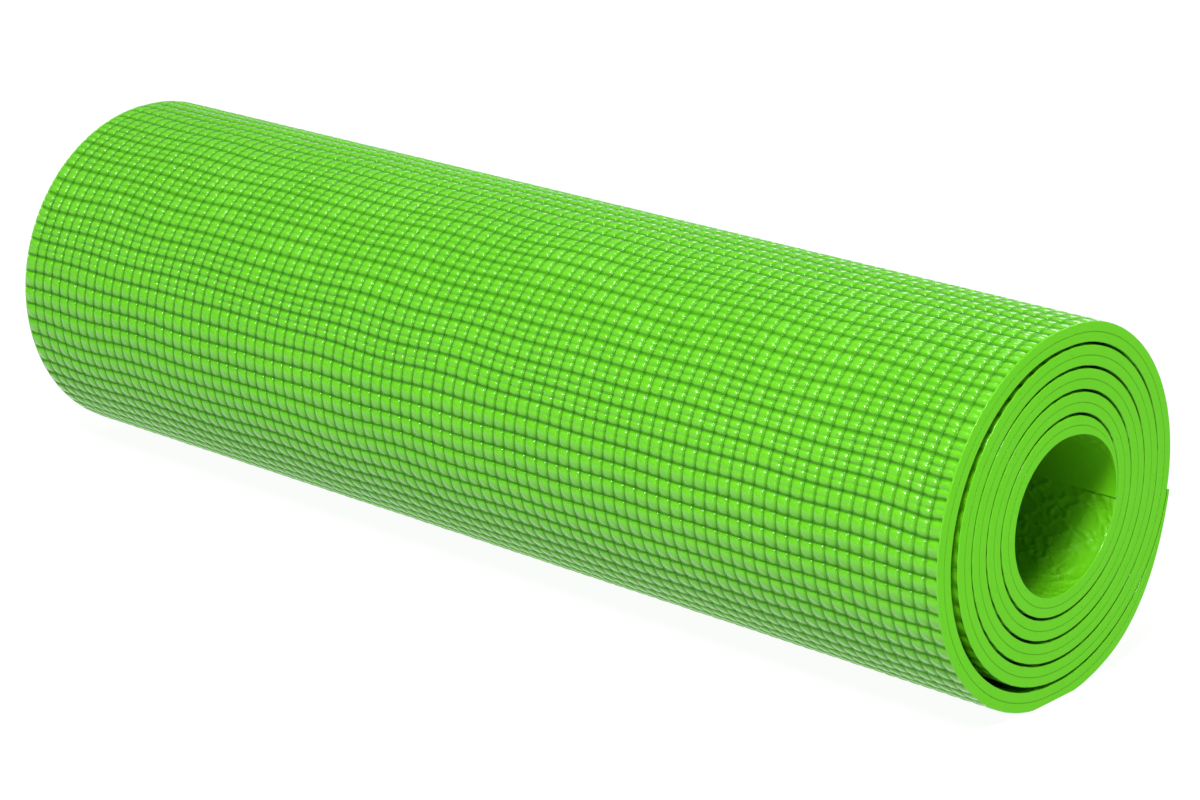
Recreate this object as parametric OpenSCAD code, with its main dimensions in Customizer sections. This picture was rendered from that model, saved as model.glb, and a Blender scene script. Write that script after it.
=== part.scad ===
// Foam exercise mat, rolled up for storage.
//
// The mat is one long laminate: a woven scrim between two sheets of soft closed-cell foam.
// It is wound outwards from a hollow core. The roll lies along X, rests on Z = 0, has its
// free outer end at the back (+Y), and its origin is under the middle of the roll.
//
// The spiral is drawn with true arcs. Half turns on the front side have their centre on the
// roll's axis, and half turns on the back side have it half a pitch higher, so that each
// half turn ends exactly where the next one starts.

/* [Mat] */
// Width of the mat, which is the length of the roll
mat_width = 610; // [400:5:1200]
// Thickness of the foam on the outer side of the scrim
outer_foam_t = 4.8; // [2:0.1:8]
// Thickness of the woven scrim in the middle of the mat
scrim_t = 0.4; // [0.2:0.1:1]
// Thickness of the foam on the inner side of the scrim
inner_foam_t = 4.8; // [2:0.1:8]

/* [Roll] */
// Number of full turns
turns = 5; // [3:1:8]
// Radius of the hollow core on its front half
core_r = 37; // [20:1:80]
// Air gap between one turn and the next
turn_gap = 0.7; // [0.4:0.1:3]
// How far the outermost turn stands off the roll at the front
front_slack = 4; // [0.5:0.5:10]
// Depth of foam that is pressed flat where the roll rests
rest_flat = 1.5; // [0.5:0.1:1.8]
// Angle above the horizontal, at the back, where both ends of the mat lie
end_angle = -10; // [-40:1:38]

/* [Loose end] */
// Clearance between two hinged lengths of the loose end
hinge_gap = 0.3; // [0.2:0.05:0.6]

/* [Hidden] */
// The loose end bends, so it is divided into lengths that are hinged one after another.
END_LENGTHS = 4;
SHEETS = ["outer_foam", "scrim", "inner_foam"];
$fn = 180;

mat_t = inner_foam_t + scrim_t + outer_foam_t;
pitch = mat_t + turn_gap;

// Radius of the mat's inner face on half turn k, at the front and at the back
function front_r(k) = core_r + (k - 1) * pitch;
function back_r(k) = core_r + (k - 0.5) * pitch;

front_outer_r = front_r(turns) + mat_t;
back_outer_r = back_r(turns) + mat_t;

// Heights of the two centres above the surface that the roll rests on
front_z = front_outer_r - rest_flat;
back_z = front_z + pitch / 2;

// How far the roll reaches forward of its centres, and how far back
front_reach = front_outer_r + front_slack;
back_reach = max(back_r(turns - 1) + mat_t, back_outer_r * cos(min(end_angle, 0)));

// Sideways place of both centres, which puts the origin in the middle of the roll's depth
centre_y = (front_reach - back_reach) / 2;

// Angles are counted from the lowest point of the back half turns, going up the back.
lift_off = acos((back_outer_r - rest_flat) / back_outer_r);
end_sweep = 90 + end_angle;
length_sweep = (end_sweep - lift_off) / END_LENGTHS;
gap_sweep = hinge_gap / back_outer_r * 180 / PI;

// Depth of each sheet's inner face below the mat's inner face, and each sheet's thickness
function sheet_from(sheet) =
    sheet == "inner_foam" ? 0 : sheet == "scrim" ? inner_foam_t : inner_foam_t + scrim_t;
function sheet_t(sheet) =
    sheet == "inner_foam" ? inner_foam_t : sheet == "scrim" ? scrim_t : outer_foam_t;
function sheet_colour(sheet) =
    sheet == "inner_foam" ? "yellowgreen" : sheet == "scrim" ? "honeydew" : "limegreen";

// Turns a shape drawn in the roll's cross-section, and extruded up, to lie along X.
module lie_down() {
    translate([-mat_width / 2, centre_y, 0]) rotate([90, 0, 90]) children();
}

// A bent length of one sheet, r being the radius of the mat's inner face.
module bend(sheet, r, start, sweep) {
    rotate_extrude(start = start, angle = sweep)
        translate([r + sheet_from(sheet), 0]) square([sheet_t(sheet), mat_width]);
}

module front_half(sheet, k) {
    translate([0, front_z, 0]) bend(sheet, front_r(k), 90, 180);
}

module back_part(sheet, k, from, sweep) {
    translate([0, back_z, 0]) bend(sheet, back_r(k), from - 90, sweep);
}

// The outermost front half turn hangs slack: it stands forward of the roll, and short
// straight lengths join it to the back at the top and at the bottom.
module slack_front_half(sheet) {
    translate([-front_slack, 0, 0]) front_half(sheet, turns);
    near = front_r(turns) + sheet_from(sheet);
    for (low = [near, -near - sheet_t(sheet)])
        translate([-front_slack, front_z + low, 0])
            cube([front_slack, sheet_t(sheet), mat_width]);
}

// One sheet of the wound part, from the end inside the core to the foot of the loose end.
module wound_sheet(sheet) {
    color(sheet_colour(sheet)) lie_down() difference() {
        union() {
            back_part(sheet, 0, end_sweep, 180 - end_sweep);
            for (k = [1:turns - 1]) {
                front_half(sheet, k);
                back_part(sheet, k, 0, 180);
            }
            slack_front_half(sheet);
            back_part(sheet, turns, 0, lift_off - gap_sweep / 2);
        }
        // The foam below this level is pressed flat by the roll's own weight.
        translate([-back_outer_r, -2 * rest_flat, -1])
            cube([2 * back_outer_r, 2 * rest_flat, mat_width + 2]);
    }
}

// One sheet of hinged length i of the loose end, counted from the foot up.
module end_sheet(sheet, i) {
    from = lift_off + (i - 1) * length_sweep + gap_sweep / 2;
    to = i < END_LENGTHS ? lift_off + i * length_sweep - gap_sweep / 2 : end_sweep;
    color(sheet_colour(sheet)) lie_down() back_part(sheet, turns, from, to - from);
}

module roll_outer_foam() wound_sheet("outer_foam");
module roll_scrim() wound_sheet("scrim");
module roll_inner_foam() wound_sheet("inner_foam");
module end_outer_foam(i) end_sheet("outer_foam", i);
module end_scrim(i) end_sheet("scrim", i);
module end_inner_foam(i) end_sheet("inner_foam", i);

roll_outer_foam();
roll_scrim();
roll_inner_foam();
for (i = [1:END_LENGTHS]) {
    end_outer_foam(i);
    end_scrim(i);
    end_inner_foam(i);
}
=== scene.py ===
"""The looks of a rolled foam exercise mat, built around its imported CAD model.

Every object is in metres in the CAD model's frame: the roll lies along X, rests on Z = 0,
shows its plain front towards -Y and keeps its loose end at the back.
"""

import logging
import math
from dataclasses import dataclass, field
from enum import Enum

import bpy
import numpy as np
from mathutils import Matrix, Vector


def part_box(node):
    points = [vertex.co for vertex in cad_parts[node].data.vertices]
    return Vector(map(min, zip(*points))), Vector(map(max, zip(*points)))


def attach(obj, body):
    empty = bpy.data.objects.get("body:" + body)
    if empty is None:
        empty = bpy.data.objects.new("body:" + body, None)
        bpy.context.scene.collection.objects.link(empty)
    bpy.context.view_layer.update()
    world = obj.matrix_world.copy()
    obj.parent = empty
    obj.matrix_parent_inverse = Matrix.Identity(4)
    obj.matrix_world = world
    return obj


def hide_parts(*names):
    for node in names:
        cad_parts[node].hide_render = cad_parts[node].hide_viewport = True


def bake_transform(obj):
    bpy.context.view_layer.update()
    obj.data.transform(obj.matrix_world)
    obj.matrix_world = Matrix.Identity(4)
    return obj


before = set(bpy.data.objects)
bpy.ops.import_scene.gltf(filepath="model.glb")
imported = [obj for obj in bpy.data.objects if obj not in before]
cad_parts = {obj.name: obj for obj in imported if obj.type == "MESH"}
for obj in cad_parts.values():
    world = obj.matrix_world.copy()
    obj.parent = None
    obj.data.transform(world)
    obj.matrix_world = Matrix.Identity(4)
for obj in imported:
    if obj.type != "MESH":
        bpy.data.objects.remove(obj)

MM = 0.001
WHITE = (1.0, 1.0, 1.0, 1.0)
FIRST_CREASE, LAST_CREASE = math.radians(4), math.radians(84)
LINE_GAP = 0.02 * MM
SIZE_TOLERANCE = 0.5 * MM
log = logging.getLogger("rolled_mat")


class Sheet(Enum):
    """The sheets that are bonded into the mat, named as in the CAD model."""

    OUTER_FOAM = "outer_foam"
    SCRIM = "scrim"
    INNER_FOAM = "inner_foam"


class Face(Enum):
    """What a strip's long face shows."""

    PILLOWS = "pillows"
    CRACKLE = "crackle"
    BONDED = "bonded"


# ---------------------------------------------------------------------------------------
# Sizes and the path that the mat is wound along
# ---------------------------------------------------------------------------------------


@dataclass(frozen=True)
class MatSizes:
    """The mat's driving sizes in metres, and its angles in degrees."""

    foam: float = 4.8 * MM
    scrim: float = 0.4 * MM
    turns: int = 5
    core_r: float = 37 * MM
    gap: float = 0.7 * MM
    slack: float = 4 * MM
    rest_flat: float = 1.5 * MM
    end_angle: float = -10.0
    lengths: int = 4

    @property
    def thickness(self) -> float:
        """Thickness of the whole mat."""
        return 2 * self.foam + self.scrim

    @property
    def pitch(self) -> float:
        """Distance from one turn to the next."""
        return self.thickness + self.gap

    def depths(self, sheet: Sheet) -> tuple[float, float]:
        """Depths of a sheet's two faces, counted outwards from the mat's inner face.

        Args:
            sheet: which sheet.

        Returns:
            The depth of its inner face and that of its outer face.
        """
        core = (self.foam, self.foam + self.scrim)
        return {
            Sheet.INNER_FOAM: (0.0, core[0]),
            Sheet.SCRIM: core,
            Sheet.OUTER_FOAM: (core[1], self.thickness),
        }[sheet]


@dataclass(frozen=True)
class Run:
    """One stretch of the winding in the Y-Z plane: an arc, or a straight if it has no sweep.

    start and sweep are in radians, counted from +Y towards +Z. A straight runs along its
    start direction's left-hand tangent, like an arc that never turns.
    """

    centre: tuple[float, float]
    inner_r: float
    start: float
    sweep: float
    length: float

    def base(self, along: np.ndarray) -> tuple[np.ndarray, np.ndarray]:
        """The mat's inner face and its outward normal.

        Args:
            along: distances from the start of this run, on the mat's middle line.

        Returns:
            Points on the inner face and unit normals, both with a last axis of Y and Z.
        """
        turned = self.start + self.sweep * along / self.length
        normal = np.stack([np.cos(turned), np.sin(turned)], -1)
        tangent = np.stack([-np.sin(turned), np.cos(turned)], -1)
        straight = 0.0 if self.sweep else 1.0
        slid = (straight * along)[..., None] * tangent
        return np.array(self.centre) + self.inner_r * normal + slid, normal


class Winding:
    """The spiral that the mat follows, from the end in the core to the loose end."""

    def __init__(self, sizes: MatSizes, middle_y: float) -> None:
        """Lays out the runs.

        Args:
            sizes: the mat's sizes.
            middle_y: the place across the roll of its centre lines.
        """
        self.sizes = sizes
        t, p = sizes.thickness, sizes.pitch
        self.front_outer_r = self.front_r(sizes.turns) + t
        self.back_outer_r = self.back_r(sizes.turns) + t
        front_z = self.front_outer_r - sizes.rest_flat
        self.front = (middle_y, front_z)
        self.back = (middle_y, front_z + p / 2)
        self.lift_off = math.acos((self.back_outer_r - sizes.rest_flat) / self.back_outer_r)
        self.runs: list[Run] = []
        self.starts: list[float] = [0.0]
        self._lay_out()

    def front_r(self, turn: int) -> float:
        """Radius of the inner face of a front half turn, counted from 1."""
        return self.sizes.core_r + (turn - 1) * self.sizes.pitch

    def back_r(self, turn: int) -> float:
        """Radius of the inner face of a back half turn, counted from 0."""
        return self.sizes.core_r + (turn - 0.5) * self.sizes.pitch

    def _arc(self, centre: tuple[float, float], inner_r: float, start: float, sweep: float) -> None:
        """Adds an arc; its angles are in degrees."""
        turned = math.radians(sweep)
        length = (inner_r + self.sizes.thickness / 2) * turned
        self.runs.append(Run(centre, inner_r, math.radians(start), turned, length))
        self.starts.append(self.starts[-1] + length)

    def _straight(self, centre: tuple[float, float], inner_r: float, start: float) -> None:
        """Adds a straight as long as the slack; its direction is in degrees."""
        slack = self.sizes.slack
        self.runs.append(Run(centre, inner_r, math.radians(start), 0.0, slack))
        self.starts.append(self.starts[-1] + slack)

    def _lay_out(self) -> None:
        """Adds every run, from the core outwards."""
        s, last = self.sizes, self.sizes.turns
        slack_front = (self.front[0] - s.slack, self.front[1])
        self._arc(self.back, self.back_r(0), s.end_angle, 90 - s.end_angle)
        for turn in range(1, last):
            self._arc(self.front, self.front_r(turn), 90, 180)
            self._arc(self.back, self.back_r(turn), 270, 180)
        self._straight(self.front, self.front_r(last), 90)
        self._arc(slack_front, self.front_r(last), 90, 180)
        self._straight(slack_front, self.front_r(last), 270)
        self.foot = self.starts[-1]
        self._arc(self.back, self.back_r(last), 270, 90 + s.end_angle)

    @property
    def length(self) -> float:
        """Length of the mat's middle line."""
        return self.starts[-1]

    @property
    def last_r(self) -> float:
        """Radius of the middle line on the last back half turn."""
        return self.back_outer_r - self.sizes.thickness / 2

    def hinge(self, index: int) -> float:
        """Distance along the mat of a hinge line of the loose end, counted from 1."""
        sweep = math.radians(90 + self.sizes.end_angle) - self.lift_off
        turned = self.lift_off + sweep * (index - 1) / self.sizes.lengths
        return self.foot + self.last_r * turned

    def base(self, s: np.ndarray) -> tuple[np.ndarray, np.ndarray]:
        """The mat's inner face and its normal at distances along the mat.

        Args:
            s: distances along the middle line; a little beyond either end is allowed.

        Returns:
            Points and unit normals, with a last axis of Y and Z.
        """
        which = np.clip(np.searchsorted(self.starts, s, side="right") - 1, 0, len(self.runs) - 1)
        points, normals = np.zeros(s.shape + (2,)), np.zeros(s.shape + (2,))
        for i, run in enumerate(self.runs):
            here = which == i
            if here.any():
                points[here], normals[here] = run.base(s[here] - self.starts[i])
        return points, normals

    def point(self, s: float, depth: float) -> Vector:
        """One point of the mat's cross-section, at the middle of its width."""
        base, normal = self.base(np.array([s]))
        y, z = base[0] + depth * normal[0]
        return Vector((0.0, y, z))


# ---------------------------------------------------------------------------------------
# Surface relief
# ---------------------------------------------------------------------------------------


class Ripple:
    """Smooth repeatable noise between about -1 and 1, made of a few sine waves."""

    def __init__(self, seed: int, wavelength: float, waves: int = 7) -> None:
        """Draws the waves.

        Args:
            seed: starts the random draws.
            wavelength: the middle wavelength in metres.
            waves: how many waves are added up.
        """
        draw = np.random.default_rng(seed)
        heading = draw.uniform(0, 2 * np.pi, waves)
        number = 2 * np.pi / (wavelength * draw.uniform(0.6, 1.7, waves))
        self.kx, self.ks = number * np.cos(heading), number * np.sin(heading)
        self.phase = draw.uniform(0, 2 * np.pi, waves)
        self.share = math.sqrt(2.0 / waves) * 0.6

    def __call__(self, x: np.ndarray, s: np.ndarray) -> np.ndarray:
        """The noise at places across and along the mat."""
        total = 0.0
        for kx, ks, phase in zip(self.kx, self.ks, self.phase):
            total = total + np.sin(kx * x + ks * s + phase)
        return total * self.share


def chance(gu: np.ndarray, gv: np.ndarray, which: int) -> np.ndarray:
    """A repeatable number between 0 and 1 for each cell of a grid."""
    mixed = np.sin(gu * 127.1 + gv * 311.7 + which * 74.7) * 43758.5453
    return mixed - np.floor(mixed)


@dataclass(frozen=True)
class Grid:
    """Regular mesh lines: the size of a cell, and where in each cell lines run."""

    cell: float
    stops: tuple[float, ...] = (0.0,)

    def between(self, low: float, high: float) -> np.ndarray:
        """The lines strictly between two places."""
        first, last = math.floor(low / self.cell) - 1, math.ceil(high / self.cell) + 1
        lines = (np.arange(first, last)[:, None] + np.array(self.stops)).ravel() * self.cell
        return lines[(lines > low + LINE_GAP) & (lines < high - LINE_GAP)]


@dataclass(frozen=True)
class PillowEmboss:
    """The grid of small pillows pressed into the mat's outer face."""

    across: Grid = Grid(6.93 * MM, (0.0, 0.07, 0.18, 0.36, 0.64, 0.82, 0.93))
    along: Grid = Grid(8.4 * MM, (0.0, 0.06, 0.16, 0.30, 0.43, 0.50, 0.57, 0.70, 0.84, 0.94))
    height: float = 1.5 * MM
    proud: float = 0.15 * MM
    column_share: float = 0.50
    row_share: float = 0.62
    drift_share: float = 0.05
    wander_share: float = 0.08
    lowered: float = 0.10
    fold_half: float = 0.25
    fold_drift: float = 0.05
    fold_soft_rows: float = 2.5
    creased_from: float = 0.0
    creased_to: float = 0.0
    wander: Ripple = field(default_factory=lambda: Ripple(3, 0.075))
    drift: Ripple = field(default_factory=lambda: Ripple(5, 0.09))
    patches: Ripple = field(default_factory=lambda: Ripple(13, 0.05))

    def folded(self, x: np.ndarray, s: np.ndarray) -> np.ndarray:
        """How far the bent foam creases across the pillows' middles, from 0 to 1."""
        soft = self.fold_soft_rows * self.along.cell
        rise = np.clip((s - self.creased_from) / soft, 0, 1)
        fall = np.clip((self.creased_to - s) / soft, 0, 1)
        return rise * fall * np.clip(0.85 + 0.35 * self.patches(x, s), 0, 1)

    def crest(self, x: np.ndarray, s: np.ndarray) -> np.ndarray:
        """How high the relief stands, from 0 where two dips between pillows cross to 1 on a pillow's
        top.

        Args:
            x: places across the mat.
            s: places along the mat.

        Returns:
            The share of the full height.
        """
        u, v = x / self.across.cell, s / self.along.cell
        gu, gv = np.floor(u), np.floor(v)
        fu, fv = np.abs(2 * (u - gu) - 1), np.abs(2 * (v - gv) - 1)
        dome = self._fall(fu, self.column_share) * self._fall(fv, self.row_share)
        inside = (1 - fu**2) * (1 - fv**2)
        lean = (chance(gu, gv, 2) - 0.5) * (2 * (v - gv) - 1)
        dome = dome - self.lowered * (chance(gu, gv, 1) - lean) * inside
        split = np.abs(v - gv - 0.5 - self.fold_drift * (chance(gu, gv, 3) - 0.5))
        near = np.clip(1 - split / self.fold_half, 0, 1)
        depth = self.row_share * (0.80 + 0.25 * chance(gu, gv, 4)) * self.folded(x, s)
        return dome * self._fall(near, depth)

    @staticmethod
    def _fall(near: np.ndarray, depth: object) -> np.ndarray:
        """A rounded shoulder: 1 on a pillow, and lower by depth where near reaches 1."""
        return 1 - depth * (1 - np.sqrt(1 - near**2))

    def shifted(self, x: np.ndarray, s: np.ndarray, calm: np.ndarray) -> tuple:
        """Where the slight wander of the grid moves places on the mat.

        Args:
            x: places across the mat.
            s: places along the mat.
            calm: the share of the wander that is left, from 0 to 1.

        Returns:
            The moved places across and along the mat.
        """
        side = self.drift_share * self.across.cell * self.drift(x, s)
        up = self.wander_share * self.along.cell * self.wander(x, s)
        return x + calm * side, s + calm * up

    def relief(self, crest: np.ndarray) -> np.ndarray:
        """Height of the surface over the CAD model's plain one, in metres."""
        return self.proud + self.height * (crest - 1)


@dataclass(frozen=True)
class CrackleEmboss:
    """The fine raised crackle on the mat's inner face, like the veins of leather."""

    grid: Grid = Grid(1.25 * MM)
    cell: float = 8.0 * MM
    height: float = 0.42 * MM
    stretch: float = 1.2
    bend_share: float = 0.25
    vein_width: float = 0.13
    sunk_share: float = 0.3
    bend: Ripple = field(default_factory=lambda: Ripple(22, 0.012))
    fade: Ripple = field(default_factory=lambda: Ripple(23, 0.03))

    def crest(self, x: np.ndarray, s: np.ndarray) -> np.ndarray:
        """How high the relief stands, from 0 on the plain foam to 1 on a vein.

        Args:
            x: places across the mat.
            s: places along the mat.

        Returns:
            The share of the full height.
        """
        u = x / self.cell + self.bend_share * self.bend(x, s)
        v = s / (self.stretch * self.cell) + self.bend_share * self.bend(s, x)
        near, second = self._two_nearest(u, v)
        vein = np.exp(-(((second - near) / self.vein_width) ** 2))
        return vein * np.clip(0.6 + 0.5 * self.fade(x, s), 0.1, 1)

    def _two_nearest(self, u: np.ndarray, v: np.ndarray) -> tuple[np.ndarray, np.ndarray]:
        """Distances to the nearest and second nearest of scattered points, in cells."""
        near = np.full(np.broadcast(u, v).shape, 9.0)
        second = near.copy()
        cu, cv = np.floor(u), np.floor(v)
        for du in (-1, 0, 1):
            for dv in (-1, 0, 1):
                gu, gv = cu + du, cv + dv
                pu, pv = gu + chance(gu, gv, 11), gv + chance(gu, gv, 12)
                away = np.hypot(u - pu, v - pv)
                second = np.minimum(second, np.maximum(near, away))
                near = np.minimum(near, away)
        return near, second

    def relief(self, crest: np.ndarray) -> np.ndarray:
        """Height of the surface over the CAD model's plain one, in metres."""
        return self.height * (crest - self.sunk_share)


# ---------------------------------------------------------------------------------------
# Strips: closed meshes that follow the winding
# ---------------------------------------------------------------------------------------


@dataclass(frozen=True)
class LongFace:
    """One long face of a strip: what it shows, and the mesh lines across the mat.

    The lines reach in from each cut edge by dense, or cover the whole width if dense is 0.
    """

    shows: Face
    lines: Grid
    dense: float = 0.0

    def places(self, half: float) -> np.ndarray:
        """The mesh lines' places across the mat, from -half to half."""
        x = self.lines.between(-half, half)
        if self.dense:
            edge = x[x > half - self.dense]
            middle = np.linspace(-half + self.dense, half - self.dense, 7)
            x = np.concatenate([-edge[::-1], middle, edge])
        return np.concatenate([[-half], x, [half]])


@dataclass(frozen=True)
class Taper:
    """How the foam is pressed thin towards an end of the mat."""

    tip: float
    length: float

    def share(self, to_end: np.ndarray) -> np.ndarray:
        """The share of the thickness that is left, by the distance to the end."""
        near = np.clip(1 - to_end / self.length, 0, 1)
        return 1 - (1 - self.tip) * near * near * (3 - 2 * near)


@dataclass
class Strip:
    """A length of one sheet of the mat, as a closed mesh."""

    winding: Winding
    sheet: Sheet
    half_width: float
    outer: LongFace
    inner: LongFace
    rows: Grid
    pillows: PillowEmboss
    crackle: CrackleEmboss
    lip: float = 0.6 * MM
    lip_steps: int = 4
    cut_relief: float = 0.15
    calm_edge: float = 8 * MM
    yarn_pitch: float = 2.6 * MM
    yarn_waist: float = 0.45
    floor_gap: float = 0.05 * MM
    corner_step: float = 0.03 * MM
    uneven: float = 0.045
    widest_gap: float = math.radians(70)
    core_end: Taper = Taper(0.05, 63 * MM)
    loose_end: Taper = Taper(0.14, 85 * MM)
    bold: float = 3.4

    def outline(self) -> dict[str, np.ndarray]:
        """The closed loop that is carried along the winding.

        Returns:
            Arrays over the loop: x, depth, how much of the outer and of the inner relief
            each place takes, and cut, which is 1 on the cut edges.
        """
        low, high = self.winding.sizes.depths(self.sheet)
        half = self.half_width
        hi_r = self.outer.shows == Face.PILLOWS
        lo_r = self.inner.shows == Face.CRACKLE
        top = self._long_edge(self.outer, half - self.lip * hi_r, high)
        bottom = self._long_edge(self.inner, half - self.lip * lo_r, low)
        top["out"], bottom["in"] = self._fade(top["x"]) * hi_r, self._fade(bottom["x"]) * lo_r
        right = self._cut_edge(low, high, lo_r, hi_r)
        left = {k: v[::-1] for k, v in right.items()}
        left["x"] = -left["x"]
        bottom = {k: v[::-1] for k, v in bottom.items()}
        order = (top, right, bottom, left)
        return {k: np.concatenate([part[k] for part in order]) for k in top}

    def _fade(self, x: np.ndarray) -> np.ndarray:
        """The relief's share, which falls away where the cutting die pressed the edge."""
        inside = np.clip((self.half_width - np.abs(x)) / (2.5 * self.lip), 0, 1)
        return self.cut_relief + (1 - self.cut_relief) * inside * inside * (3 - 2 * inside)

    @staticmethod
    def _long_edge(face: LongFace, half: float, depth: float) -> dict[str, np.ndarray]:
        """The loop's part along a long face."""
        x = face.places(half)
        zero = np.zeros_like(x)
        return {"x": x, "depth": zero + depth, "out": zero, "in": zero, "cut": zero}

    def _cut_edge(self, low: float, high: float, lo_r: bool, hi_r: bool) -> dict:
        """The loop's part down the cut edge at +X, with rounded lips where they show."""
        tight = self.corner_step
        turn = (np.arange(self.lip_steps) + 1) / self.lip_steps * np.pi / 2
        bow_x, bow_d = self.lip * (1 - np.sin(turn)), self.lip * (1 - np.cos(turn))
        start = high - (self.lip if hi_r else 0.0)
        stop = low + (self.lip if lo_r else 0.0)
        flat = np.array([start - tight, (start + stop) / 2, stop + tight])
        x, depth, cut = [flat * 0 + self.half_width], [flat], [flat * 0 + 1]
        out, inn = [flat * 0], [flat * 0]
        if hi_r:
            x, depth = [self.half_width - bow_x] + x, [high - bow_d] + depth
            cut, out = [bow_d / self.lip] + cut, [self.cut_relief * (1 - bow_d / self.lip)] + out
            inn = [turn * 0] + inn
        if lo_r:
            x, depth = x + [self.half_width - bow_x[::-1]], depth + [low + bow_d[::-1]]
            cut, out = cut + [bow_d[::-1] / self.lip], out + [turn * 0]
            inn = inn + [self.cut_relief * (1 - bow_d[::-1] / self.lip)]
        parts = {"x": x, "depth": depth, "out": out, "in": inn, "cut": cut}
        return {k: np.concatenate(v) for k, v in parts.items()}

    def surface(self, s: np.ndarray, bold: float = 1.0) -> dict[str, np.ndarray]:
        """The strip's surface at stations along the mat.

        Args:
            s: stations, in order.
            bold: makes the relief this many times as deep.

        Returns:
            The points (stations, loop, 3), and over (stations, loop) the crest, cut and
            fold values that the materials read.
        """
        loop = self.outline()
        plain = np.zeros((len(s), len(loop["x"])))
        x, along, depth = plain + loop["x"], plain + s[:, None], plain + loop["depth"]
        crest, fold = plain + 1, plain.copy()
        on = loop["out"] > 0
        if on.any():
            share, u, v = loop["out"][on], x[:, on], along[:, on]
            high = self.pillows.crest(u, v)
            depth[:, on] += bold * share * self.pillows.relief(high)
            crest[:, on] = 1 - share * (1 - high)
            fold[:, on] = share * self.pillows.folded(u, v)
            x[:, on], along[:, on] = self.pillows.shifted(u, v, self._calm(u, v))
        on = loop["in"] > 0
        if on.any():
            high = self.crackle.crest(x[:, on], along[:, on])
            depth[:, on] -= bold * loop["in"][on] * self.crackle.relief(high)
            crest[:, on] = 0.88 + 0.12 * high * loop["in"][on]
        if self.sheet == Sheet.SCRIM:
            depth = self._yarns(depth, along)
        base, normal = self.winding.base(along)
        depth = self._squeeze(depth, along, normal)
        places = base + depth[..., None] * normal
        places[..., 1] = np.maximum(places[..., 1], self.floor_gap)
        points = np.concatenate([x[..., None], places], -1)
        return {"points": points, "crest": crest, "cut": plain + loop["cut"], "fold": fold}

    def _calm(self, x: np.ndarray, s: np.ndarray) -> np.ndarray:
        """The share of the pillows' wander, which stops short of the mat's edges."""
        to_edge = np.minimum(self.half_width - np.abs(x), s)
        to_edge = np.minimum(to_edge, self.winding.length - s)
        return np.clip(to_edge / self.calm_edge, 0, 1)

    def _yarns(self, depth: np.ndarray, along: np.ndarray) -> np.ndarray:
        """Thins the scrim between its cross yarns."""
        middle = sum(self.winding.sizes.depths(self.sheet)) / 2
        bead = np.abs(np.cos(np.pi * along / self.yarn_pitch)) ** 6
        return middle + (depth - middle) * (self.yarn_waist + (1 - self.yarn_waist) * bead)

    def _squeeze(self, depth: np.ndarray, s: np.ndarray, normal: np.ndarray) -> np.ndarray:
        """Makes the foam a little thicker or thinner round the roll, and thin at its ends."""
        full = self.winding.sizes.thickness
        angle = np.arctan2(normal[..., 1], normal[..., 0])
        share = 1 - self.uneven * np.cos(2 * (angle - self.widest_gap))
        depth = full / 2 + (depth - full / 2) * share
        depth = full - (full - depth) * self.core_end.share(s)
        return depth * self.loose_end.share(self.winding.length - s)

    def build(self, name: str, start: float, stop: float) -> bpy.types.Object:
        """Makes the mesh of a length of the strip.

        Args:
            name: the piece's name.
            start: where it starts along the mat.
            stop: where it stops.

        Returns:
            The new object.
        """
        before = self.rows.between(start - 2 * self.rows.cell, start)[-1:]
        after = self.rows.between(stop, stop + 2 * self.rows.cell)[:1]
        inside = self.rows.between(start, stop)
        s = np.concatenate([before, [start], inside, [stop], after])
        grid = self.surface(s)
        points = grid.pop("points")
        bold = self.surface(s, self.bold)["points"]
        slope_s = bold[2:] - bold[:-2]
        slope_loop = np.roll(bold, -1, 1)[1:-1] - np.roll(bold, 1, 1)[1:-1]
        normals = np.cross(slope_s, slope_loop)
        normals /= np.maximum(np.linalg.norm(normals, axis=-1, keepdims=True), 1e-12)
        values = {k: v[1:-1] for k, v in grid.items()}
        made = StripMesh(points[1:-1], normals, values)
        return made.link(name, welded=self.sheet == Sheet.SCRIM)


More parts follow.
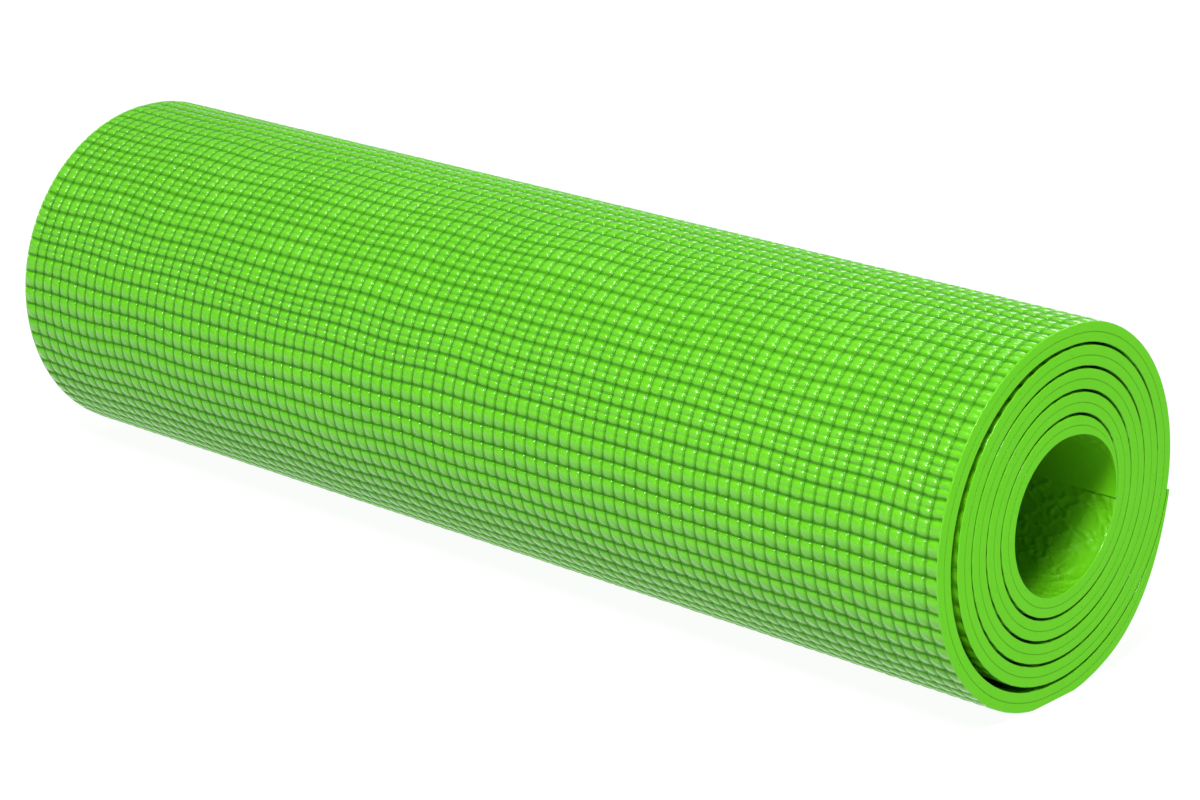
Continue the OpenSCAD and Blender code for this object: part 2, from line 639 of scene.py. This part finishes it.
@dataclass
class StripMesh:
    """Turns a grid of points, closed round one way, into a mesh with two end caps."""

    points: np.ndarray
    normals: np.ndarray
    values: dict[str, np.ndarray]

    def link(self, name: str, welded: bool) -> bpy.types.Object:
        """Makes the object.

        Args:
            name: the object's name.
            welded: whether the caps share the strip's own vertices.

        Returns:
            The object, linked to the scene.
        """
        rows, loop = self.points.shape[:2]
        ring = np.arange(loop)
        i = np.arange(rows - 1)[:, None] * loop
        ahead = np.roll(ring, -1)
        quads = np.stack([i + ring, i + loop + ring, i + loop + ahead, i + ahead], -1)
        places, normals = self.points.reshape(-1, 3), self.normals.reshape(-1, 3)
        values = {k: v.ravel() for k, v in self.values.items()}
        caps = [ring, (rows - 1) * loop + ring]
        if not welded:
            extra = np.concatenate(caps)
            outward = [self._facing(0, 1), self._facing(-1, -2)]
            places = np.concatenate([places, places[extra]])
            normals = np.concatenate([normals, np.repeat(outward, loop, 0)])
            values = {k: np.append(v, v[extra]) for k, v in values.items()}
            values["cut"][-2 * loop:] = 1.0
            caps = [rows * loop + ring, rows * loop + loop + ring]
        mesh = bpy.data.meshes.new(name)
        self._fill(mesh, places, quads.reshape(-1, 4), [caps[0], caps[1][::-1]])
        for label, value in values.items():
            layer = mesh.attributes.new(label, "FLOAT", "POINT")
            layer.data.foreach_set("value", value.astype(np.float32))
        mesh.normals_split_custom_set_from_vertices(normals)
        piece = bpy.data.objects.new(name, mesh)
        bpy.context.scene.collection.objects.link(piece)
        return piece

    def _facing(self, end: int, inner: int) -> np.ndarray:
        """The way a cap faces: away from the station next to it."""
        away = (self.points[end] - self.points[inner]).mean(0)
        return away / np.linalg.norm(away)

    @staticmethod
    def _fill(mesh: bpy.types.Mesh, places: np.ndarray, quads: np.ndarray, caps: list) -> None:
        """Writes the vertices and the smooth faces of a mesh."""
        indices = np.concatenate([quads.ravel(), *caps])
        sizes = np.concatenate([np.full(len(quads), 4), [len(cap) for cap in caps]])
        mesh.vertices.add(len(places))
        mesh.vertices.foreach_set("co", places.astype(np.float32).ravel())
        mesh.loops.add(len(indices))
        mesh.loops.foreach_set("vertex_index", indices.astype(np.int32))
        mesh.polygons.add(len(sizes))
        starts = np.concatenate([[0], np.cumsum(sizes)[:-1]])
        mesh.polygons.foreach_set("loop_start", starts.astype(np.int32))
        mesh.update(calc_edges=True)
        mesh.polygons.foreach_set("use_smooth", np.ones(len(sizes), bool))


# ---------------------------------------------------------------------------------------
# Shader graph helpers
# ---------------------------------------------------------------------------------------


class Signal:
    """A number that varies over a surface, so that shader maths reads as plain Python."""

    def __init__(self, graph: "Graph", socket: bpy.types.NodeSocket) -> None:
        """Wraps an output socket of a graph's node."""
        self.graph, self.socket = graph, socket

    def _math(self, operation: str, first: object, second: object) -> "Signal":
        """Adds a Math node on two numbers or signals."""
        return self.graph.node("ShaderNodeMath", {"operation": operation}, {0: first, 1: second})

    def __add__(self, other: object) -> "Signal":
        """self + other."""
        return self._math("ADD", self, other)

    def __radd__(self, other: object) -> "Signal":
        """other + self."""
        return self._math("ADD", other, self)

    def __sub__(self, other: object) -> "Signal":
        """self - other."""
        return self._math("SUBTRACT", self, other)

    def __rsub__(self, other: object) -> "Signal":
        """other - self."""
        return self._math("SUBTRACT", other, self)

    def __mul__(self, other: object) -> "Signal":
        """self * other."""
        return self._math("MULTIPLY", self, other)

    def __rmul__(self, other: object) -> "Signal":
        """other * self."""
        return self._math("MULTIPLY", other, self)

    def clamp(self) -> "Signal":
        """The number kept between 0 and 1."""
        return self.graph.node(
            "ShaderNodeMath", {"operation": "ADD", "use_clamp": True}, {0: self, 1: 0.0}
        )


class Graph:
    """A material's node tree."""

    def __init__(self, name: str) -> None:
        """Makes an empty material of this name."""
        self.material = bpy.data.materials.new(name)
        self.material.use_nodes = True
        self.tree = self.material.node_tree
        self.tree.nodes.clear()

    def node(self, kind: str, settings: dict, sockets: dict, output: object = 0) -> Signal:
        """Adds a node.

        Args:
            kind: the node's type.
            settings: its own settings.
            sockets: its inputs by name or place, each a number, a tuple or a signal.
            output: the name or place of the output to return.

        Returns:
            The chosen output.
        """
        made = self.tree.nodes.new(kind)
        for key, value in settings.items():
            setattr(made, key, value)
        for key, value in sockets.items():
            if isinstance(value, Signal):
                self.tree.links.new(value.socket, made.inputs[key])
            else:
                made.inputs[key].default_value = value
        return Signal(self, made.outputs[output])

    def place(self) -> Signal:
        """The place on the piece, in metres in the row frame."""
        return self.node("ShaderNodeTexCoord", {}, {}, "Object")

    def attribute(self, name: str) -> Signal:
        """A number stored on the mesh."""
        return self.node("ShaderNodeAttribute", {"attribute_name": name}, {}, "Fac")

    def noise(self, scale: float, detail: float = 2.0) -> Signal:
        """Smooth noise from 0 to 1, scale being its cells per metre."""
        return self.node(
            "ShaderNodeTexNoise",
            {},
            {"Vector": self.place(), "Scale": scale, "Detail": detail},
        )

    def blend(self, share: object, first: object, second: object) -> Signal:
        """A colour between two colours, the second where share is 1."""
        return self.node(
            "ShaderNodeMix",
            {"data_type": "RGBA"},
            {"Factor": share, 6: first, 7: second},
            2,
        )

    def bump(self, height: Signal, depth: float) -> Signal:
        """A normal bent by a height, depth being the height of 1 in metres."""
        return self.node(
            "ShaderNodeBump", {}, {"Strength": 1.0, "Distance": depth, "Height": height}
        )

    def finish(self, sockets: dict) -> bpy.types.Material:
        """Adds the surface shader and the output.

        Args:
            sockets: the Principled shader's inputs.

        Returns:
            The material.
        """
        surface = self.node("ShaderNodeBsdfPrincipled", {}, sockets, "BSDF")
        out = self.tree.nodes.new("ShaderNodeOutputMaterial")
        self.tree.links.new(surface.socket, out.inputs["Surface"])
        return self.material


Colour = tuple[float, float, float, float]


@dataclass(frozen=True)
class FoamFinish:
    """Lime closed-cell foam: satin moulded skin, open cells where cut; shade painted in grooves and
    pits.
    """

    name: str
    skin: Colour = (0.090, 0.410, 0.003, 1.0)
    skin_pale: Colour = (0.107, 0.442, 0.007, 1.0)
    # painted shade: darker green mixed into the grooves between the pillows
    groove_shade: Colour = (0.008, 0.120, 0.001, 1.0)
    sawn: Colour = (0.124, 0.610, 0.002, 1.0)
    sawn_pale: Colour = (0.142, 0.645, 0.005, 1.0)
    # painted shade: darker green for the inside of the open-cell pits on the cut face
    cell: Colour = (0.055, 0.380, 0.001, 1.0)
    skin_rough: float = 0.22
    sawn_rough: float = 0.60
    foam_ior: float = 1.45
    foam_gloss: float = 0.20
    coat_ior: float = 1.6
    coat_rough: float = 0.13
    bump_depth: float = 0.15 * MM

    def material(self) -> bpy.types.Material:
        """Builds the material.

        Returns:
            The material.
        """
        g = Graph(self.name)
        crest, cut = g.attribute("crest"), g.attribute("cut").clamp()
        broad, worn, fine = g.noise(9.0, 3.0), g.noise(70.0, 4.0), g.noise(1100.0, 3.0)
        pit = self._pits(g)
        moulded = g.blend((broad * 1.8 - 0.4).clamp(), self.skin, self.skin_pale)
        # painted shade: the skin darkens as the relief's crest falls into the grooves between the
        # pillows
        moulded = g.blend(((1 - crest) * 1.8 - 0.40).clamp(), moulded, self.groove_shade)
        sawn = g.blend(worn, self.sawn, self.sawn_pale)
        # painted shade: the cut face's pits take the darker cell colour
        sawn = g.blend(pit, sawn, self.cell)
        rough = self.skin_rough + (worn - 0.5) * 0.12 + (1 - crest) * 0.08
        rough = rough * (1 - cut) + (self.sawn_rough + (fine - 0.5) * 0.2) * cut
        crumple = g.noise(420.0, 2.0) * g.attribute("fold") * 2.2
        height = (fine - 0.5) * 0.30 + crumple + worn * 0.9 * (1 - cut) - pit * cut
        return g.finish(
            {
                "Base Color": g.blend(cut, moulded, sawn),
                "Roughness": rough,
                "Normal": g.bump(height, self.bump_depth),
                "IOR": self.foam_ior,
                "Specular IOR Level": self.foam_gloss,
                "Coat Weight": (1 - cut) * (crest * 1.4 - 0.6).clamp(),
                "Coat Roughness": self.coat_rough,
                "Coat IOR": self.coat_ior,
            }
        )

    @staticmethod
    def _pits(g: Graph) -> Signal:
        """Scattered open cells, 1 in a pit and 0 between; it sinks the bump and paints shade into the
        pits.
        """
        away = g.node(
            "ShaderNodeTexVoronoi",
            {"feature": "F1"},
            {"Vector": g.place(), "Scale": 480.0, "Randomness": 1.0},
            "Distance",
        )
        return (1 - away * 3.4).clamp() * ((g.noise(300.0, 1.0) - 0.60) * 9).clamp()


@dataclass(frozen=True)
class ScrimFinish:
    """Polyester net: pale green yarns that are soaked with foam."""

    name: str = "scrim_yarn"
    yarn: Colour = (0.108, 0.540, 0.002, 1.0)
    soaked: Colour = (0.098, 0.500, 0.002, 1.0)

    def material(self) -> bpy.types.Material:
        """Builds the material.

        Returns:
            The material.
        """
        g = Graph(self.name)
        twist = g.node(
            "ShaderNodeTexWave",
            {"bands_direction": "DIAGONAL"},
            {"Vector": g.place(), "Scale": 380.0, "Distortion": 2.0, "Detail": 1.0},
            "Fac",
        )
        soak = g.noise(240.0, 2.0)
        return g.finish(
            {
                "Base Color": g.blend(soak, self.yarn, self.soaked),
                "Roughness": 0.62 + (soak - 0.5) * 0.2,
                "Normal": g.bump(twist, 0.06 * MM),
                "Specular IOR Level": 0.15,
            }
        )


# ---------------------------------------------------------------------------------------
# The mat
# ---------------------------------------------------------------------------------------


@dataclass
class Mat:
    """What the wound part and the loose end share."""

    sizes: MatSizes
    winding: Winding
    half_width: float
    pillows: PillowEmboss
    crackle: CrackleEmboss
    finishes: dict[Sheet, bpy.types.Material]
    dense_edge: float = 28 * MM
    buried: Grid = Grid(1.7 * MM)
    yarns: Grid = Grid(0.65 * MM)

    def strip(self, sheet: Sheet, fine_outside: bool, fine_inside: bool) -> Strip:
        """A strip of one sheet.

        Args:
            sheet: which sheet.
            fine_outside: whether its outer face is fine over the whole width.
            fine_inside: the same for its inner face.

        Returns:
            The strip, ready to build.
        """
        outer = inner = LongFace(Face.BONDED, Grid(self.half_width / 2))
        rows = self.buried
        if sheet == Sheet.OUTER_FOAM:
            dense = 0.0 if fine_outside else self.dense_edge
            outer = LongFace(Face.PILLOWS, self.pillows.across, dense)
            rows = self.pillows.along if fine_outside else rows
        if sheet == Sheet.INNER_FOAM:
            dense = 0.0 if fine_inside else self.dense_edge
            inner = LongFace(Face.CRACKLE, self.crackle.grid, dense)
            rows = self.crackle.grid if fine_inside else rows
        if sheet == Sheet.SCRIM:
            rows = self.yarns
        return Strip(
            self.winding, sheet, self.half_width, outer, inner, rows, self.pillows, self.crackle
        )

    def dress(self, piece: bpy.types.Object, sheet: Sheet, flat_length: float) -> None:
        """Gives a piece its finish.

        Args:
            piece: the piece.
            sheet: the sheet that it is part of.
            flat_length: its length when the mat lies flat; not used.
        """
        piece.data.materials.append(self.finishes[sheet])
        if sheet == Sheet.SCRIM:
            2 * self.half_width


@dataclass
class WoundPart:
    """Everything but the loose end: five turns that stay wound."""

    mat: Mat
    body: str = "roll"
    core_overlap: float = 6 * MM
    bare_overlap: float = 2 * MM

    def build(self) -> list[bpy.types.Object]:
        """Builds the wound lengths of the three sheets.

        Returns:
            The pieces.
        """
        mat, w = self.mat, self.mat.winding
        root_end = w.hinge(1) - (w.hinge(2) - w.hinge(1)) / 2
        one_turn = w.starts[3] + self.core_overlap
        bare_from = w.starts[2 * mat.sizes.turns - 2] - self.bare_overlap
        plan = (
            ("core_turn", Sheet.INNER_FOAM, 0.0, one_turn, False, True),
            ("wound_turns", Sheet.INNER_FOAM, one_turn, root_end, False, False),
            ("buried_turns", Sheet.OUTER_FOAM, 0.0, bare_from, False, False),
            ("outermost_turn", Sheet.OUTER_FOAM, bare_from, root_end, True, False),
            ("wound_net", Sheet.SCRIM, 0.0, root_end, False, False),
        )
        made = []
        for label, sheet, start, stop, fine_outside, fine_inside in plan:
            strip = mat.strip(sheet, fine_outside, fine_inside)
            piece = strip.build(f"{sheet.value}_{label}", start, stop)
            mat.dress(piece, sheet, stop - start)
            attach(piece, self.body)
            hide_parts(f"roll_{sheet.value}")
            report(piece)
            made.append(piece)
        return made


@dataclass
class LooseEnd:
    """The end of the mat at the back, in lengths that meet half way between its hinge lines."""

    mat: Mat
    root: str = "roll"
    inset: float = 1.0 * MM

    def stations(self) -> list[float]:
        """Where its lengths meet: half way between the hinge lines, and the free edge."""
        w, n = self.mat.winding, self.mat.sizes.lengths
        half = (w.hinge(2) - w.hinge(1)) / 2
        return [w.hinge(i) - half for i in range(1, n + 1)] + [w.hinge(n) + half, w.length]

    def build(self) -> list[bpy.types.Object]:
        """Builds the lengths of the three sheets.

        Returns:
            The pieces.
        """
        mat, meets = self.mat, self.stations()
        bodies = [self.root] + [f"end_{i + 1}" for i in range(mat.sizes.lengths)]
        made = []
        for sheet in Sheet:
            strip = mat.strip(sheet, True, True)
            for i, (start, stop) in enumerate(zip(meets, meets[1:])):
                name = f"{sheet.value}_loose_{i + 1}"
                piece = strip.build(name, start, stop)
                mat.dress(piece, sheet, stop - start)
                self._attach(piece, i, bodies, start, stop)
                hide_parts(f"{bodies[min(i + 1, len(bodies) - 1)]}_{sheet.value}")
                report(piece)
                made.append(piece)
        return made

    def _attach(self, piece: bpy.types.Object, i: int, bodies: list, start: float, stop: float) -> None:
        """Bakes a length's transform into its mesh, or rides the last one on the last body."""
        w, middle = self.mat.winding, self.mat.sizes.thickness / 2
        if i + 1 < len(bodies):
            begin, end = w.point(start + self.inset, middle), w.point(stop - self.inset, middle)
            bodies[i + 1]
            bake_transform(piece)
        else:
            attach(piece, bodies[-1])


# ---------------------------------------------------------------------------------------
# The studio
# ---------------------------------------------------------------------------------------


@dataclass(frozen=True)
class Softbox:
    """A large square area light."""

    name: str
    place: tuple[float, float, float]
    size: float
    power: float


@dataclass
class Studio:
    """White floor, even white surroundings, soft lights and the camera."""

    floor_size: float = 40.0
    floor: Colour = (0.12, 0.12, 0.12, 1.0)
    floor_glow: float = 0.93
    surround: float = 0.34
    azimuth: float = 42.1
    elevation: float = 18.5
    lit: tuple[float, float, float] = (0.0, 0.0, 0.09)
    aim: tuple[float, float, float] = (-0.042, 0.075, 0.047)
    distance: float = 1.885
    lens: float = 107.4
    sensor: float = 36.0
    boxes: tuple[Softbox, ...] = (
        Softbox("key_box", (0.70, -1.10, 1.85), 0.55, 57.0),
        Softbox("front_box", (0.45, -2.10, 0.50), 0.70, 3.0),
        Softbox("top_box", (0.05, -0.30, 1.90), 0.90, 13.0),
        Softbox("back_box", (-0.60, 1.90, 1.20), 0.90, 9.0),
    )

    def build(self) -> None:
        """Makes everything that isn't part of the object."""
        self._floor()
        self._surroundings()
        for box in self.boxes:
            self._softbox(box)
        self._camera()

    def _floor(self) -> None:
        """A plain pale floor just under the roll."""
        mesh = bpy.data.meshes.new("floor")
        half = self.floor_size / 2
        square = [(-half, -half, 0), (half, -half, 0), (half, half, 0), (-half, half, 0)]
        mesh.from_pydata(square, [], [(0, 1, 2, 3)])
        floor = bpy.data.objects.new("floor", mesh)
        bpy.context.scene.collection.objects.link(floor)
        g = Graph("floor_paint")
        sockets = {"Base Color": self.floor, "Roughness": 0.9, "Specular IOR Level": 0.0}
        glow = {"Emission Color": WHITE, "Emission Strength": self.floor_glow}
        mesh.materials.append(g.finish(sockets | glow))

    def _surroundings(self) -> None:
        """Even white light from all round, and a plain rendering of the colours."""
        world = bpy.data.worlds.new("surround")
        world.use_nodes = True
        sky = world.node_tree.nodes["Background"]
        sky.inputs["Color"].default_value = WHITE
        sky.inputs["Strength"].default_value = self.surround
        bpy.context.scene.world = world
        bpy.context.scene.view_settings.view_transform = "Standard"

    def _softbox(self, box: Softbox) -> None:
        """Adds one light, turned to the roll's middle."""
        lamp = bpy.data.lights.new(box.name, "AREA")
        lamp.shape, lamp.size, lamp.energy = "SQUARE", box.size, box.power
        holder = bpy.data.objects.new(box.name, lamp)
        holder.location = box.place
        inward = Vector(self.lit) - Vector(box.place)
        holder.rotation_mode = "QUATERNION"
        holder.rotation_quaternion = inward.to_track_quat("-Z", "Y")
        bpy.context.scene.collection.objects.link(holder)

    def _camera(self) -> None:
        """Adds the camera and makes it the scene's."""
        lens = bpy.data.cameras.new("camera")
        lens.lens, lens.sensor_width = self.lens, self.sensor
        lens.clip_start, lens.clip_end = 0.05, 100.0
        camera = bpy.data.objects.new("camera", lens)
        a, e = math.radians(self.azimuth), math.radians(self.elevation)
        back = Vector((math.sin(a) * math.cos(e), -math.cos(a) * math.cos(e), math.sin(e)))
        camera.location = Vector(self.aim) + back * self.distance
        camera.rotation_mode = "QUATERNION"
        camera.rotation_quaternion = (-back).to_track_quat("-Z", "Y")
        bpy.context.scene.collection.objects.link(camera)
        bpy.context.scene.camera = camera


# ---------------------------------------------------------------------------------------
# Putting it together
# ---------------------------------------------------------------------------------------


def report(piece: bpy.types.Object) -> None:
    """Logs a finished piece and how many faces it has."""
    log.info("%s: %d faces", piece.name, len(piece.data.polygons))


def build_mat() -> Mat:
    """Reads the roll's place from the CAD model and prepares what its pieces share.

    Returns:
        The mat.
    """
    sizes = MatSizes()
    low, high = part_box("roll_outer_foam")
    probe = Winding(sizes, 0.0)
    middle_y = low.y + probe.front_outer_r + sizes.slack
    winding = Winding(sizes, middle_y)
    top = winding.front[1] + winding.front_outer_r
    if abs(top - high.z) > SIZE_TOLERANCE:
        raise ValueError(f"the winding is {top:.4f} m high and the CAD model {high.z:.4f} m")
    last_front = winding.starts[2 * sizes.turns]
    front_r = winding.front_outer_r - sizes.thickness / 2
    pillows = PillowEmboss(
        creased_from=last_front + front_r * FIRST_CREASE,
        creased_to=last_front + front_r * LAST_CREASE,
    )
    finishes = {
        Sheet.OUTER_FOAM: FoamFinish("outer_foam_skin").material(),
        Sheet.INNER_FOAM: FoamFinish("inner_foam_skin", skin_rough=0.42).material(),
        Sheet.SCRIM: ScrimFinish().material(),
    }
    return Mat(sizes, winding, high.x, pillows, CrackleEmboss(), finishes)


def main() -> None:
    """Builds the scene."""
    logging.basicConfig(level=logging.INFO, format="%(message)s")
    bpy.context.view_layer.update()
    Studio().build()
    mat = build_mat()
    WoundPart(mat).build()
    LooseEnd(mat).build()


if __name__ == "__main__":
    main()
